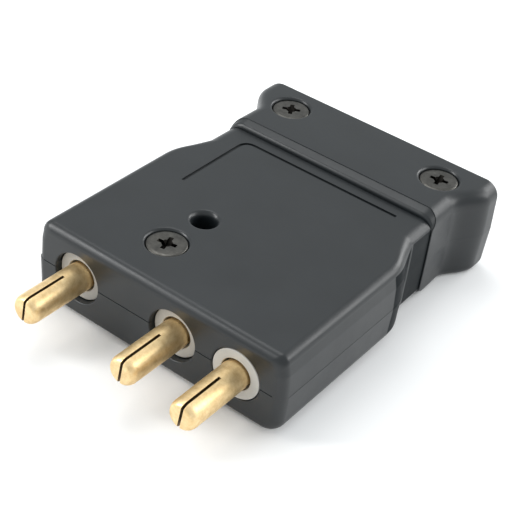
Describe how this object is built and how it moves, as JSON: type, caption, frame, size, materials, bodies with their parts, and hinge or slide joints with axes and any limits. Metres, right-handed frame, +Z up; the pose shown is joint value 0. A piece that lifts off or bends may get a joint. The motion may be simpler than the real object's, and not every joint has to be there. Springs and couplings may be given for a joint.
{
  "type": "stage pin plug",
  "caption": "Flat moulded stage lighting plug with split brass contact pins in light grey collars and a screwed two-part cord clamp at the rear.",
  "frame": {"origin": "centre of the overall box in length and width, on the plane that the cord clamp's bottom lies on", "axes": "+Y runs from the pins to the cord entry, +Z up out of the top face with the screw heads, and +X to the right when looking along +Y, from the hot pin to the neutral pin"},
  "size_m": [0.0962, 0.143, 0.033],
  "materials": {
    "housing": "satin moulded",
    "pin_brass": "turned and polished",
    "bush": "satin",
    "screw_nickel": "dark nickel plate",
    "set_screw_steel": "blackened",
    "insert_brass": "machined"
  },
  "bodies": {
    "root": {"upper_housing": "housing", "lower_housing": "housing", "upper_cord_clamp": "housing", "lower_cord_clamp": "housing", "hot_pin": "pin_brass", "hot_pin_bush": "bush", "hot_wire_screws": "set_screw_steel", "ground_pin": "pin_brass", "ground_pin_bush": "bush", "ground_wire_screws": "set_screw_steel", "neutral_pin": "pin_brass", "neutral_pin_bush": "bush", "neutral_wire_screws": "set_screw_steel", "body_screw": "screw_nickel", "left_clamp_screw": "screw_nickel", "right_clamp_screw": "screw_nickel", "body_screw_insert": "insert_brass", "left_clamp_insert": "insert_brass", "right_clamp_insert": "insert_brass"}
  },
  "joints": []
}
